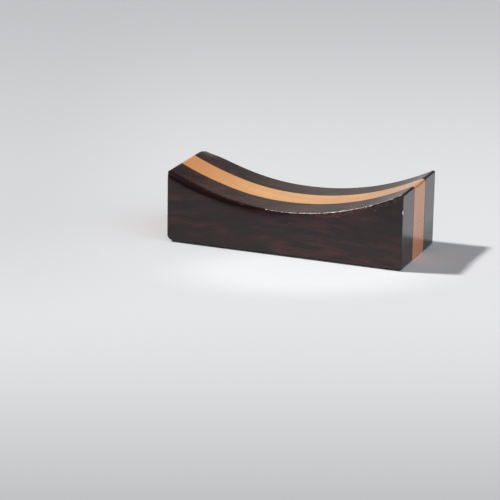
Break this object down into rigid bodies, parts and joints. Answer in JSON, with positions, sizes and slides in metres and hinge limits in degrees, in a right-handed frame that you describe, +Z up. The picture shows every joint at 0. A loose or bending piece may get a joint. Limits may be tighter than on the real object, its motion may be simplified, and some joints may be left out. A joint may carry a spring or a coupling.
{
  "type": "chopstick rest",
  "caption": "Short laminated wooden block with a concave saddle across its top that holds chopstick tips or a cutlery handle off the table.",
  "frame": {"origin": "centre of the flat base", "axes": "+X along the rest towards its slightly taller end, +Z up, -Y out of the front face, on the thick dark lamina"},
  "size_m": [0.0608, 0.0232, 0.0191],
  "materials": {
    "front_dark_wood": "satin, reddish-black rosewood with fine black streaks",
    "rear_dark_wood": "satin, grey-black rosewood",
    "pale_wood": "satin, pink-orange cherry with small dark flecks",
    "glue": "dried brown wood glue"
  },
  "bodies": {
    "root": {"front_dark_lamina": "front_dark_wood", "front_glue_film": "glue", "pale_core_lamina": "pale_wood", "rear_glue_film": "glue", "rear_dark_lamina": "rear_dark_wood"}
  },
  "joints": []
}
